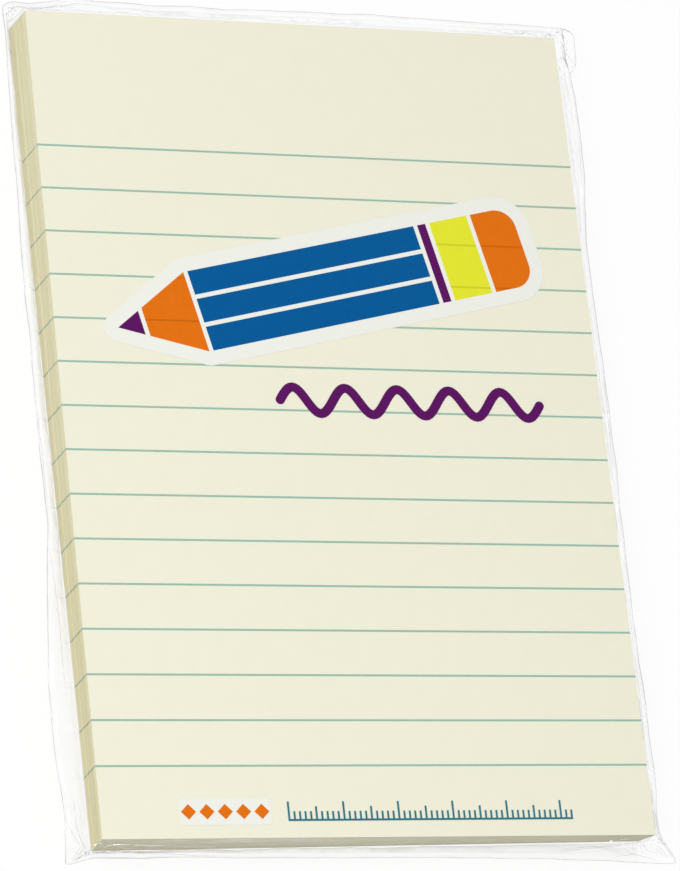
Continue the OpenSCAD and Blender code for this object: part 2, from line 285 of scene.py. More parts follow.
# One sheet, hung from its left head corner: the paper, then its ruled lines
thick = g.new("ShaderNodeMath")
thick.operation = "MULTIPLY"
thick.inputs[1].default_value = 0.97
ln(g_in.outputs["Pitch"], thick.inputs[0])
sheet_size = g.new("ShaderNodeCombineXYZ")
ln(g_in.outputs["Width"], sheet_size.inputs[0])
ln(g_in.outputs["Length"], sheet_size.inputs[1])
ln(thick.outputs[0], sheet_size.inputs[2])
sheet = g.new("GeometryNodeMeshCube")
ln(sheet_size.outputs[0], sheet.inputs["Size"])
half = g.new("ShaderNodeVectorMath")
half.operation = "MULTIPLY"
half.inputs[1].default_value = (0.5, -0.5, -0.5)
ln(sheet_size.outputs[0], half.inputs[0])
hang = g.new("GeometryNodeTransform")
ln(sheet.outputs["Mesh"], hang.inputs["Geometry"])
ln(half.outputs[0], hang.inputs["Translation"])
cut = g.new("GeometryNodeSetMaterial")
cut.inputs["Material"].default_value = edge_mat
ln(hang.outputs[0], cut.inputs["Geometry"])

wide = g.new("ShaderNodeMath")
wide.operation = "ADD"
wide.inputs[1].default_value = 0.012 * MM
ln(g_in.outputs["Width"], wide.inputs[0])
ink_deep = g.new("ShaderNodeMath")
ink_deep.operation = "MULTIPLY"
ink_deep.inputs[1].default_value = 0.8
ln(g_in.outputs["Pitch"], ink_deep.inputs[0])
ink_size = g.new("ShaderNodeCombineXYZ")
ln(wide.outputs[0], ink_size.inputs[0])
ln(g_in.outputs["Line width"], ink_size.inputs[1])
ln(ink_deep.outputs[0], ink_size.inputs[2])
ink = g.new("GeometryNodeMeshCube")
ln(ink_size.outputs[0], ink.inputs["Size"])
first_y = g.new("ShaderNodeMath")
first_y.operation = "MULTIPLY"
first_y.inputs[1].default_value = -1
ln(g_in.outputs["Head margin"], first_y.inputs[0])
middle_x = g.new("ShaderNodeMath")
middle_x.operation = "MULTIPLY"
middle_x.inputs[1].default_value = 0.5
ln(g_in.outputs["Width"], middle_x.inputs[0])
ink_z = g.new("ShaderNodeMath")
ink_z.operation = "MULTIPLY"
ink_z.inputs[1].default_value = -0.45
ln(g_in.outputs["Pitch"], ink_z.inputs[0])
first = g.new("ShaderNodeCombineXYZ")
ln(middle_x.outputs[0], first.inputs[0])
ln(first_y.outputs[0], first.inputs[1])
ln(ink_z.outputs[0], first.inputs[2])
down = g.new("ShaderNodeMath")
down.operation = "MULTIPLY"
down.inputs[1].default_value = -1
ln(g_in.outputs["Line pitch"], down.inputs[0])
step = g.new("ShaderNodeCombineXYZ")
ln(down.outputs[0], step.inputs[1])
rows = g.new("GeometryNodeMeshLine")
rows.mode = "OFFSET"
ln(g_in.outputs["Lines"], rows.inputs["Count"])
ln(first.outputs[0], rows.inputs["Start Location"])
ln(step.outputs[0], rows.inputs["Offset"])
ruled = g.new("GeometryNodeInstanceOnPoints")
ln(rows.outputs[0], ruled.inputs["Points"])
ln(ink.outputs["Mesh"], ruled.inputs["Instance"])
inked = g.new("GeometryNodeSetMaterial")
inked.inputs["Material"].default_value = ink_edge_mat
ln(ruled.outputs[0], inked.inputs["Geometry"])
one_sheet = g.new("GeometryNodeJoinGeometry")
ln(inked.outputs[0], one_sheet.inputs[0])
ln(cut.outputs[0], one_sheet.inputs[0])

# The sheets' places: share 1 at the last sheet, 0 at the first, with a stray of its own
# for each sheet and a slow wander through the stack
corner_x = g.new("ShaderNodeMath")
corner_x.operation = "MULTIPLY"
corner_x.inputs[1].default_value = -0.5
ln(g_in.outputs["Width"], corner_x.inputs[0])
corner_y = g.new("ShaderNodeMath")
corner_y.operation = "MULTIPLY"
corner_y.inputs[1].default_value = 0.5
ln(g_in.outputs["Length"], corner_y.inputs[0])
corner_z = g.new("ShaderNodeMath")
corner_z.operation = "ADD"
ln(g_in.outputs["First height"], corner_z.inputs[0])
ln(g_in.outputs["Pitch"], corner_z.inputs[1])
corner = g.new("ShaderNodeCombineXYZ")
ln(corner_x.outputs[0], corner.inputs[0])
ln(corner_y.outputs[0], corner.inputs[1])
ln(corner_z.outputs[0], corner.inputs[2])
rise = g.new("ShaderNodeCombineXYZ")
ln(g_in.outputs["Pitch"], rise.inputs[2])
pile = g.new("GeometryNodeMeshLine")
pile.mode = "OFFSET"
ln(g_in.outputs["Sheets"], pile.inputs["Count"])
ln(corner.outputs[0], pile.inputs["Start Location"])
ln(rise.outputs[0], pile.inputs["Offset"])
index = g.new("GeometryNodeInputIndex")
share = g.new("ShaderNodeMapRange")
share.inputs["From Min"].default_value = 0
share.inputs["To Min"].default_value = 1
share.inputs["To Max"].default_value = 0
top_index = g.new("ShaderNodeMath")
top_index.operation = "SUBTRACT"
top_index.inputs[1].default_value = 1
ln(g_in.outputs["Sheets"], top_index.inputs[0])
ln(index.outputs[0], share.inputs["Value"])
ln(top_index.outputs[0], share.inputs["From Max"])
slip = g.new("ShaderNodeVectorMath")
slip.operation = "SCALE"
ln(g_in.outputs["Slip"], slip.inputs[0])
ln(share.outputs[0], slip.inputs["Scale"])
stray = g.new("FunctionNodeRandomValue")
stray.data_type = "FLOAT_VECTOR"
stray.inputs["Min"].default_value = (-1, -1, 0)
stray.inputs["Max"].default_value = (1, 1, 0)
ln(g_in.outputs["Seed"], stray.inputs["Seed"])
strayed = g.new("ShaderNodeVectorMath")
strayed.operation = "SCALE"
ln(stray.outputs[0], strayed.inputs[0])
ln(g_in.outputs["Stray"], strayed.inputs["Scale"])
slow = g.new("ShaderNodeMath")
slow.operation = "MULTIPLY"
slow.inputs[1].default_value = 0.11
ln(index.outputs[0], slow.inputs[0])
wander = g.new("ShaderNodeTexNoise")
wander.noise_dimensions = "1D"
wander.inputs["Scale"].default_value = 1
wander.inputs["Detail"].default_value = 2
ln(slow.outputs[0], wander.inputs["W"])
centred = g.new("ShaderNodeVectorMath")
centred.operation = "SUBTRACT"
centred.inputs[1].default_value = (0.5, 0.5, 0)
ln(wander.outputs["Color"], centred.inputs[0])
level = g.new("ShaderNodeVectorMath")
level.operation = "MULTIPLY"
level.inputs[1].default_value = (1, 1, 0)
ln(centred.outputs[0], level.inputs[0])
wandered = g.new("ShaderNodeVectorMath")
wandered.operation = "SCALE"
ln(level.outputs[0], wandered.inputs[0])
ln(g_in.outputs["Wander"], wandered.inputs["Scale"])
loose = g.new("ShaderNodeVectorMath")
loose.operation = "ADD"
ln(strayed.outputs[0], loose.inputs[0])
ln(wandered.outputs[0], loose.inputs[1])
below = g.new("ShaderNodeMath")
below.operation = "GREATER_THAN"
below.inputs[1].default_value = 0.001
ln(share.outputs[0], below.inputs[0])
held = g.new("ShaderNodeVectorMath")
held.operation = "SCALE"
ln(loose.outputs[0], held.inputs[0])
ln(below.outputs[0], held.inputs["Scale"])
moved = g.new("ShaderNodeVectorMath")
moved.operation = "ADD"
ln(slip.outputs[0], moved.inputs[0])
ln(held.outputs[0], moved.inputs[1])
placed = g.new("GeometryNodeSetPosition")
ln(pile.outputs[0], placed.inputs["Geometry"])
ln(moved.outputs[0], placed.inputs["Offset"])
angle = g.new("ShaderNodeMath")
angle.operation = "MULTIPLY"
ln(g_in.outputs["Turn"], angle.inputs[0])
ln(share.outputs[0], angle.inputs[1])
spin = g.new("ShaderNodeCombineXYZ")
ln(angle.outputs[0], spin.inputs[2])
sheets = g.new("GeometryNodeInstanceOnPoints")
ln(placed.outputs[0], sheets.inputs["Points"])
ln(one_sheet.outputs[0], sheets.inputs["Instance"])
ln(spin.outputs[0], sheets.inputs["Rotation"])
real = g.new("GeometryNodeRealizeInstances")
ln(sheets.outputs[0], real.inputs[0])

# What faces up or down is the face of a sheet, and the rest stays cut edge or ink
normal = g.new("GeometryNodeInputNormal")
normal_z = g.new("ShaderNodeSeparateXYZ")
ln(normal.outputs[0], normal_z.inputs[0])
steep = g.new("ShaderNodeMath")
steep.operation = "ABSOLUTE"
ln(normal_z.outputs[2], steep.inputs[0])
flat = g.new("FunctionNodeCompare")
flat.data_type = "FLOAT"
flat.operation = "GREATER_THAN"
flat.inputs["B"].default_value = 0.5
ln(steep.outputs[0], flat.inputs["A"])
faced = g.new("GeometryNodeSetMaterial")
faced.inputs["Material"].default_value = face_mat
ln(real.outputs[0], faced.inputs["Geometry"])
ln(flat.outputs[0], faced.inputs["Selection"])
ln(faced.outputs[0], g_out.inputs["Geometry"])

# The tree runs once, and its result is kept as the mesh of the piece
maker = bpy.data.objects.new("note_sheets", bpy.data.meshes.new("seed"))
scene.collection.objects.link(maker)
mod = maker.modifiers.new("sheets", "NODES")
mod.node_group = stack_tree
for socket, value in ins.values():
    mod[socket.identifier] = value
maker.update_tag()
deps = bpy.context.evaluated_depsgraph_get()
mesh = bpy.data.meshes.new_from_object(maker.evaluated_get(deps), depsgraph=deps)
maker.modifiers.remove(mod)
maker.data = mesh
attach(maker, "root")
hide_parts("note_block")

# Ruled lines: thin green-teal ink from edge to edge, a little broken where the fibres
# stand up.
lines = nodes["ruled_lines"]
mat = bpy.data.materials.new("ruling_ink")
mat.use_nodes = True
tree = mat.node_tree
bsdf = tree.nodes["Principled BSDF"]
coords = tree.nodes.new("ShaderNodeTexCoord")
breaks = tree.nodes.new("ShaderNodeTexNoise")
breaks.inputs["Scale"].default_value = 2600
breaks.inputs["Detail"].default_value = 3
tree.links.new(coords.outputs["Object"], breaks.inputs["Vector"])
ramp = tree.nodes.new("ShaderNodeMix")
ramp.data_type = "RGBA"
ramp.inputs[6].default_value = (0.18, 0.38, 0.285, 1)
ramp.inputs[7].default_value = (0.37, 0.56, 0.445, 1)
tree.links.new(breaks.outputs["Fac"], ramp.inputs[0])
tree.links.new(ramp.outputs[2], bsdf.inputs["Base Color"])
bsdf.inputs["Roughness"].default_value = 0.8
lines.data.materials.clear()
lines.data.materials.append(mat)

# Shrink film: one clear skin, tight over both faces, tented off the sides and welded all
# round. Its seam runs through points traced at half height, anticlockwise from the foot.
ripple = bpy.data.node_groups.new("Film ripple", "ShaderNodeTree")
ripple.interface.new_socket(name="Depth", in_out="INPUT", socket_type="NodeSocketFloat")
ripple.interface.new_socket(name="Haze", in_out="OUTPUT", socket_type="NodeSocketFloat")
ripple.interface.new_socket(name="Normal", in_out="OUTPUT", socket_type="NodeSocketVector")
g_in = ripple.nodes.new("NodeGroupInput")
g_out = ripple.nodes.new("NodeGroupOutput")
coords = ripple.nodes.new("ShaderNodeTexCoord")
waves = ripple.nodes.new("ShaderNodeTexNoise")
waves.inputs["Scale"].default_value = 260
waves.inputs["Detail"].default_value = 3
ripple.links.new(coords.outputs["Object"], waves.inputs["Vector"])
specks = ripple.nodes.new("ShaderNodeTexNoise")
specks.inputs["Scale"].default_value = 1800
specks.inputs["Detail"].default_value = 2
ripple.links.new(coords.outputs["Object"], specks.inputs["Vector"])
spread = ripple.nodes.new("ShaderNodeMapRange")
spread.inputs["From Min"].default_value = 0.3
spread.inputs["From Max"].default_value = 0.7
spread.inputs["To Min"].default_value = 0.05
spread.inputs["To Max"].default_value = 0.14
ripple.links.new(specks.outputs["Fac"], spread.inputs["Value"])
ripple.links.new(spread.outputs[0], g_out.inputs["Haze"])
bump = ripple.nodes.new("ShaderNodeBump")
bump.inputs["Distance"].default_value = 0.0002
ripple.links.new(g_in.outputs["Depth"], bump.inputs["Strength"])
ripple.links.new(waves.outputs["Fac"], bump.inputs["Height"])
ripple.links.new(bump.outputs["Normal"], g_out.inputs["Normal"])

# Clear film, seam and glint are all clear with gloss over it: little where the film is seen square on
# (its veil), and nearly all where it is seen at a grazing angle. The seam's gloss is grey, painted
# shade for the dark lines of the weld and the pinched folds, and the glint's strong white gloss is a
# painted highlight.
film_mats = []
for name, depth, base, veil in (
    ("clear_film", 0.10, (0.99, 0.99, 1, 1), 0.035),
    # Painted shade: grey gloss for the dark that clear film shows at its weld and folds
    ("film_seam_shade", 0.05, (0.42, 0.43, 0.46, 1), 0.25),
    # Painted highlight: white gloss far stronger than clear film's, for light caught by crumpled film
    ("film_painted_glint", 0.05, (1, 1, 1, 1), 0.75),
):
    mat = bpy.data.materials.new(name)
    mat.use_nodes = True
    tree = mat.node_tree
    bsdf = tree.nodes["Principled BSDF"]
    bsdf.inputs["Base Color"].default_value = base
    bsdf.inputs["Metallic"].default_value = 1
    out = tree.nodes["Material Output"]
    group = tree.nodes.new("ShaderNodeGroup")
    group.node_tree = ripple
    group.inputs["Depth"].default_value = depth
    tree.links.new(group.outputs["Haze"], bsdf.inputs["Roughness"])
    tree.links.new(group.outputs["Normal"], bsdf.inputs["Normal"])
    gloss = tree.nodes.new("ShaderNodeLayerWeight")
    gloss.inputs["Blend"].default_value = 0.5
    tree.links.new(group.outputs["Normal"], gloss.inputs["Normal"])
    grazing = tree.nodes.new("ShaderNodeMath")
    grazing.operation = "POWER"
    grazing.inputs[1].default_value = 5
    tree.links.new(gloss.outputs["Facing"], grazing.inputs[0])
    veiled = tree.nodes.new("ShaderNodeMath")
    veiled.operation = "MULTIPLY_ADD"
    veiled.use_clamp = True
    veiled.inputs[1].default_value = 0.9
    veiled.inputs[2].default_value = veil
    tree.links.new(grazing.outputs[0], veiled.inputs[0])
    clear = tree.nodes.new("ShaderNodeBsdfTransparent")
    mix = tree.nodes.new("ShaderNodeMixShader")
    tree.links.new(veiled.outputs[0], mix.inputs[0])
    tree.links.new(clear.outputs[0], mix.inputs[1])
    tree.links.new(bsdf.outputs[0], mix.inputs[2])
    tree.links.new(mix.outputs[0], out.inputs["Surface"])
    film_mats.append(mat)

seam_points = [
    (-55.6, -78.1), (-50.7, -76.8), (-44.2, -76.9), (-41.6, -77.0), (-37.1, -76.8), (0, -77.1),
    (30.6, -77.7), (43.8, -78.0), (47.3, -78.3), (53.8, -78.6), (56.8, -78.7), (55.5, -76.6),
    (53.9, -74.0), (53.7, -71.8), (54.1, -66.0), (54.4, 3.2), (54.4, 13.1), (54.5, 28.5),
    (54.5, 38.1), (55.2, 46.4), (55.6, 52.25), (55.7, 57.6), (55.6, 66.1), (55.1, 70.6),
    (56.4, 71.2), (56.8, 72.5), (57.3, 78.3), (56.6, 79.05), (54.9, 79.6), (50.4, 79.8),
    (7.75, 79.95), (-21.3, 79.9), (-37.3, 79.8), (-40.4, 79.9), (-42.2, 79.6), (-48.2, 78.6),
    (-50.8, 79.0), (-52.9, 78.2), (-52.75, 74.8), (-52.7, 68.3), (-52.9, 56.5), (-53.15, 41.3),
    (-53.6, 29.7), (-53.3, 12.8), (-53.2, -0.4), (-53.1, -17.4), (-54.4, -30), (-55.5, -45),
    (-55.5, -56.3), (-55.4, -60.6), (-54.9, -65.5), (-54.8, -70.3), (-55.0, -73.6), (-55.1, -76.0),
]
station = 0.55
ring_plan = []
for k, (x0, y0) in enumerate(seam_points):
    x1, y1 = seam_points[(k + 1) % len(seam_points)]
    count = max(1, round(math.hypot(x1 - x0, y1 - y0) / station))
    for j in range(count):
        ring_plan.append(Vector((x0 + (x1 - x0) * j / count, y0 + (y1 - y0) * j / count)))
for _ in range(3):
    ring_plan = [
        0.25 * ring_plan[k - 1] + 0.5 * p + 0.25 * ring_plan[(k + 1) % len(ring_plan)]
        for k, p in enumerate(ring_plan)
    ]
count = len(ring_plan)
half_w = 50.65
half_l = 75.15
bend = 0.4
inset_share = 0.7
front_z = 10.797
back_z = 0.003
seam_z = 5.4
seam_sway = 0.35
sway_length = 9.5
seam_shake = 0.5
shake_length = 7
weld_w = 0.8
weld_half = 0.02
vent_r = 1.2
corners = [Vector((x, y)) for x in (-half_w, half_w) for y in (-half_l, half_l)]
last_turn = Matrix.Rotation(turn_angle, 2)
last_corner = Vector((-sheet_w / 2, sheet_l / 2))
last_slip = Vector((slip_x, slip_y))
edge_plan = []
inset = []
for p in ring_plan:
    inner = Vector((
        min(max(p.x, bend - half_w), half_w - bend),
        min(max(p.y, bend - half_l), half_l - bend),
    ))
    edge_plan.append(inner + bend * (p - inner).normalized())
    inset.append(inner + inset_share * bend * (p - inner).normalized())
last_plan = [last_turn @ (p - last_corner) + last_corner + last_slip for p in edge_plan]
seam_h = [
    seam_z
    + seam_sway * math.sin(k * station / sway_length)
    + seam_shake * noise.noise(Vector((k * station / shake_length, 0, 3)))
    for k in range(count)
]
near = [min((p - c).length for c in corners) for p in ring_plan]

# Both sides run from the pad's edge to the weld in steps. The film sags between the two,
# with fine and broad ripples along it and sharp crumples near the corners.
ridge = 2.4
fine_length = 1.7
broad_length = 9
crush_length = 1.1
corner_reach = 9
sag_in = 0.32
fine_out = 0.10
broad_out = 0.35
crush_out = 0.42
sag_down = 0.22
fine_up = 0.06
crush_up = 0.35
steps = (0.012, 0.06, 0.13, 0.2, 0.28, 0.36, 0.44, 0.52, 0.6, 0.68, 0.76, 0.84, 0.92)
rings = []
rings.append([Vector((p.x, p.y, front_z)) for p in inset])
rings.append([Vector((p.x, p.y, front_z)) for p in edge_plan])
for side, plan, z0 in ((1, edge_plan, front_z), (-1, last_plan, back_z)):
    body = []
    for t in steps:
        ring = []
        for k in range(count):
            away = ring_plan[k] - plan[k]
            reach = away.length
            weld = ring_plan[k] - away * weld_w / reach
            p = plan[k].lerp(weld, t)
            z = z0 + (seam_h[k] + weld_half * side - z0) * t
            bow = math.sin(math.pi * t)
            near_corner = math.exp(-((near[k] / corner_reach) ** 2))
            along = k * station
            fine_at = Vector((along / fine_length + 0.9 * t, 0.9 * t, 11 + side))
            fine = 1 - ridge * abs(noise.noise(fine_at))
            broad = noise.noise(Vector((along / broad_length, 0.7 * t, 23 + side)))
            crush_at = Vector((along / crush_length, 3.1 * t, 37 + side))
            crush = 1 - ridge * abs(noise.noise(crush_at))
            push = fine_out * fine + broad_out * broad + near_corner * crush_out * crush - sag_in
            out_by = bow * push
            dip = bow * (fine_up * fine - sag_down + near_corner * crush_up * crush)
            p = p + away.normalized() * out_by
            ring.append(Vector((p.x, p.y, z + side * dip)))
        body.append(ring)
    weld_ring = []
    edge_ring = []
    for k in range(count):
        away = ring_plan[k] - plan[k]
        weld = ring_plan[k] - away * weld_w / away.length
        weld_ring.append(Vector((weld.x, weld.y, seam_h[k] + weld_half * side)))
        edge_ring.append(Vector((ring_plan[k].x, ring_plan[k].y, seam_h[k] + weld_half * side)))
    if side == 1:
        rings += body + [weld_ring, edge_ring]
    else:
        rings += [edge_ring, weld_ring] + body[::-1]
rings.append([Vector((p.x, p.y, back_z)) for p in last_plan])
vent = Vector((25.25, -37.5))
rings.append([
    Vector((*(vent + vent_r * (p - vent).normalized()), back_z))
    for p in last_plan
])
verts = [v * MM for ring in rings for v in ring] + [Vector((0, 0, front_z)) * MM]
faces = [(len(verts) - 1, k, (k + 1) % count) for k in range(count)]
for r in range(len(rings) - 1):
    for k in range(count):
        j = (k + 1) % count
        faces.append((r * count + k, r * count + count + k, r * count + count + j, r * count + j))
mesh = bpy.data.meshes.new("film")
mesh.from_pydata(verts, [], faces)
mesh.materials.append(film_mats[0])
mesh.materials.append(film_mats[1])
mesh.polygons.foreach_set("use_smooth", [True] * len(mesh.polygons))
film = bpy.data.objects.new("film", mesh)
scene.collection.objects.link(film)

# The trimmed seam ends in a thin melted bead, uneven in thickness, thinner on the ears at the right and
# along the head and the foot. It wears the seam's grey, painted shade for the dark line a clear weld
# shows.
bead_verts = []
bead_faces = []
bead_r = 0.075
bead_swell = 0.045
ear_x = 55.9
ear_share = 0.6
cross_loss = 0.3
sides = 8
for k in range(count):
    p = ring_plan[k]
    tangent = (ring_plan[(k + 1) % count] - ring_plan[k - 1]).normalized()
    outward = Vector((tangent.y, -tangent.x))
    swell = noise.noise(Vector((k * station / 4, 5, 5))) + noise.noise(Vector((k * station / 15, 8, 5)))
    ear = ear_share if p.x > ear_x else 1
    radius = (bead_r + bead_swell * swell) * ear * (1 - cross_loss * abs(tangent.x))
    for s in range(sides):
        a = 2 * math.pi * s / sides
        q = p + outward * radius * math.cos(a)
        bead_verts.append(Vector((q.x, q.y, seam_h[k] + radius * math.sin(a))) * MM)
    j = (k + 1) % count
    for s in range(sides):
        n = (s + 1) % sides
        bead_faces.append((k * sides + s, j * sides + s, j * sides + n, k * sides + n))
mesh = bpy.data.meshes.new("film_bead")
mesh.from_pydata(bead_verts, [], bead_faces)
mesh.materials.append(film_mats[1])
mesh.polygons.foreach_set("use_smooth", [True] * len(mesh.polygons))
bead = bpy.data.objects.new("film_bead", mesh)
scene.collection.objects.link(bead)

# Creases: at the corners the film doubles up and is pinched into fine folds, drawn in the seam's grey
# as painted shade, and a few in front of the foot are painted highlights, white strips where the film
# catches the light. Each was traced at half height, in the camera's view, and is dropped on to the film
# along that line of sight: (half width, points).
pinches = (
    (0.08, ((53.0, 77.8), (54.0, 78.7), (54.9, 79.5), (55.7, 79.2), (56.6, 78.9))),
    (0.20, ((54.9, 79.5), (54.8, 77.6), (54.7, 75.6), (54.7, 73.2), (55.0, 71.2))),
    (0.12, ((54.1, 73.7), (54.5, 72.6), (54.9, 71.6))),
    (0.09, ((54.7, 73.2), (55.1, 71.7), (55.7, 67.9), (55.8, 65.3))),
    (0.05, ((54.8, 79.5), (56.5, 79.0), (57.3, 77.7))),
    (0.045, ((55.5, 77.1), (55.1, 74.2), (56.6, 72.3))),
    (0.05, ((56.6, 72.3), (55.5, 71.4))),
    (0.06, ((54.2, 76.5), (54.3, 73.0), (55.0, 72.8))),
    (0.04, ((49.7, 78.9), (52.0, 78.2))),
    (0.07, ((53.3, -63.6), (53.5, -70.0), (53.5, -73.8))),
    (0.05, ((52.9, -63.6), (52.9, -69.4), (52.9, -72.1))),
    (0.08, ((53.5, -73.8), (55.2, -75.8), (56.4, -77.9))),
    (0.06, ((34.5, -76.3), (39.2, -75.8), (44.6, -75.3), (48.7, -74.5), (53.4, -73.9))),
    (0.045, ((34.6, -75.9), (42.2, -75.2), (49.9, -74.5), (52.7, -74.1))),
    (0.05, ((45.0, -77.4), (48.7, -76.9), (50.3, -77.5), (52.9, -78.1))),
    (0.05, ((52.9, -74.5), (53.8, -74.9))),
    (0.05, ((54.0, -74.5), (54.9, -76.0), (56.1, -78.4))),
    (0.045, ((53.1, -75.4), (54.0, -76.3), (54.8, -77.8))),
    (0.045, ((52.5, -75.8), (53.5, -76.5), (54.1, -77.6))),
    (0.04, ((49.8, -75.0), (49.8, -75.9), (49.9, -77.0))),
    (0.04, ((48.3, -75.1), (48.3, -75.7), (48.3, -76.3))),
    (0.04, ((49.9, -74.6), (50.8, -76.2), (53.4, -76.8))),
    (0.06, ((-48.3, 77.3), (-45.7, 77.5), (-40.5, 79.6))),
    (0.05, ((-52.3, 78.1), (-50.6, 77.4), (-51.8, 76.5))),
    (0.05, ((-49.6, 78.2), (-48.3, 77.6), (-50.7, 75.6), (-52.4, 74.6))),
    (0.045, ((-48.3, 77.5), (-52.1, 73.5))),
    (0.04, ((-50.9, 78.5), (-50.3, 77.0), (-51.8, 75.0))),
    (0.04, ((-47.7, 77.9), (-44.0, 77.9), (-39.2, 79.2), (-32.7, 79.0))),
    (0.05, ((-52.1, 75.2), (-51.2, 75.4), (-50.3, 75.6))),
    (0.04, ((-51.6, 77.5), (-51.6, 76.6), (-51.7, 75.7))),
    (0.04, ((-52.0, 76.6), (-51.1, 77.3), (-50.0, 77.7))),
    (0.04, ((-50.9, 77.8), (-50.5, 77.0), (-49.5, 76.8))),
    (0.06, ((-52.9, -66.7), (-52.9, -71.3), (-51.9, -74.7), (-50.9, -75.3))),
    (0.05, ((-55.0, -67.7), (-54.7, -70.5), (-53.5, -72.9), (-51.9, -75.0))),
    (0.07, ((-50.9, -75.3), (-53.0, -76.6), (-55.0, -77.8))),
    (0.05, ((-51.9, -74.7), (-51.5, -76.6))),
    (0.05, ((-50.9, -75.1), (-51.7, -76.7))),
    (0.045, ((-52.6, -74.5), (-52.4, -76.4), (-53.9, -77.2))),
    (0.06, ((-50.7, -75.1), (-51.1, -75.9), (-51.3, -76.7))),
    (0.06, ((-51.4, -75.3), (-51.7, -76.1), (-51.8, -76.8))),
    (0.06, ((-52.1, -74.8), (-51.9, -75.5), (-51.2, -76.0))),
    (0.05, ((-51.5, -75.8), (-52.7, -76.6), (-53.9, -77.5))),
    (0.05, ((-52.1, -75.3), (-53.2, -76.3), (-54.3, -77.1))),
    (0.04, ((-52.6, -74.9), (-53.3, -75.9), (-54.5, -77.3))),
    (0.05, ((-50.8, -76.6), (-44.4, -77.0), (-38.4, -76.7), (-28.0, -76.8))),
    (0.04, ((-46.9, -75.4), (-40.0, -75.8), (-34.0, -76.4), (-28.0, -76.6))),
    (0.05, ((-53.1, -22.7), (-52.5, -35.2), (-52.6, -49.3))),
    (0.045, ((-53.1, 1.8), (-53.0, -5.1), (-52.9, -13.8))),
    (0.04, ((-51.9, 73.5), (-52.2, 63.9), (-52.5, 48.8))),
    (0.045, ((55.3, 59.3), (55.2, 53.4), (54.8, 47.5))),
    (0.04, ((54.8, 20.4), (54.1, 3.2), (53.7, -12.0))),
    (0.04, ((53.5, -30.6), (53.4, -49.1), (53.2, -61.8))),
)
painted_glints = (
    (0.09, ((51.1, -74.0), (51.9, -73.6), (52.5, -73.1))),
    (0.06, ((46.0, -73.9), (47.0, -73.9), (48.1, -73.7))),
    (0.10, ((43.6, -74.4), (44.4, -74.1), (45.0, -74.1))),
    (0.12, ((-50.0, -74.3), (-49.5, -74.0), (-48.8, -73.8))),
    (0.12, ((-48.8, -73.8), (-48.5, -74.0), (-48.3, -74.4))),
    (0.12, ((-47.9, -74.5), (-46.9, -74.2), (-45.9, -74.1), (-44.5, -74.1), (-43.1, -74.2))),
    (0.09, ((-43.1, -74.2), (-40.6, -74.3), (-38.5, -74.4), (-37.0, -74.5))),
    (0.04, ((-35.6, -74.6), (-33.2, -74.8), (-30.5, -74.8), (-27.4, -74.9))),
)
sight = Vector((0.36534, 0.31835, -0.87475))
skin = BVHTree.FromPolygons(verts, faces)
crease_verts = []
crease_faces = []
crease_kinds = []
fold_step = 0.35
fold_shake = 0.09
back_off = 0.03
lowest_fold = 3
sides = 6
for kind, folds in enumerate((pinches, painted_glints)):
    for number, (half_width, points) in enumerate(folds):
        path = []
        for start, end in zip(points, points[1:]):
            pieces = max(2, round(math.dist(start, end) / fold_step))
            for j in range(pieces):
                path.append(Vector((*start, seam_z)).lerp(Vector((*end, seam_z)), j / pieces))
        for _ in range(2):
            path = [path[0]] + [
                0.25 * a + 0.5 * b + 0.25 * c for a, b, c in zip(path, path[1:], path[2:])
            ] + [path[-1]]
        laid = []
        for k, p in enumerate(path):
            shake_x = noise.noise(Vector((k * 0.3, number + 0.5, kind + 0.25)))
            shake_y = noise.noise(Vector((k * 0.3, number + 0.5, kind + 7.25)))
            q = p + fold_shake * Vector((shake_x, shake_y, 0))
            hit = skin.ray_cast(q * MM - sight * back_off, sight, 2 * back_off)[0]
            if hit is not None and hit.z > lowest_fold * MM:
                laid.append(hit / MM)
        if len(laid) < 3:
            continue
        base = len(crease_verts)
        for k, p in enumerate(laid):
            along = (laid[min(k + 1, len(laid) - 1)] - laid[max(k - 1, 0)]).normalized()
            across = along.cross(sight).normalized()
            rise = across.cross(along)
            swell = 0.75 + 0.5 * noise.noise(Vector((k * 0.4, number, 9)))
            taper = 0.25 + 0.75 * math.sin(math.pi * (k + 0.5) / len(laid)) ** 0.5
            radius = half_width * swell * taper
            for s in range(sides):
                a = 2 * math.pi * s / sides
                crease_verts.append((p + radius * (across * math.cos(a) + rise * math.sin(a))) * MM)
        for k in range(len(laid) - 1):
            for s in range(sides):
                n = (s + 1) % sides
                a = base + k * sides
                crease_faces.append((a + s, a + sides + s, a + sides + n, a + n))
                crease_kinds.append(kind)
        far_end = base + (len(laid) - 1) * sides
        crease_faces.append(tuple(range(base, base + sides)))
        crease_faces.append(tuple(range(far_end, far_end + sides))[::-1])
        crease_kinds += [kind, kind]
mesh = bpy.data.meshes.new("film_creases")
mesh.from_pydata(crease_verts, [], crease_faces)
# Pinches take the seam's painted shade, glints the painted highlight
mesh.materials.append(film_mats[1])
mesh.materials.append(film_mats[2])
mesh.polygons.foreach_set("material_index", crease_kinds)
mesh.polygons.foreach_set("use_smooth", [True] * len(mesh.polygons))
creases = bpy.data.objects.new("film_creases", mesh)
scene.collection.objects.link(creases)
for obj in (film, bead, creases):
    bm = bmesh.new()
    bm.from_mesh(obj.data)
    bmesh.ops.recalc_face_normals(bm, faces=bm.faces)
    bm.to_mesh(obj.data)
    bm.free()
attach(film, "root")
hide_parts("film_wrap")
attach(bead, "root")
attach(creases, "root")

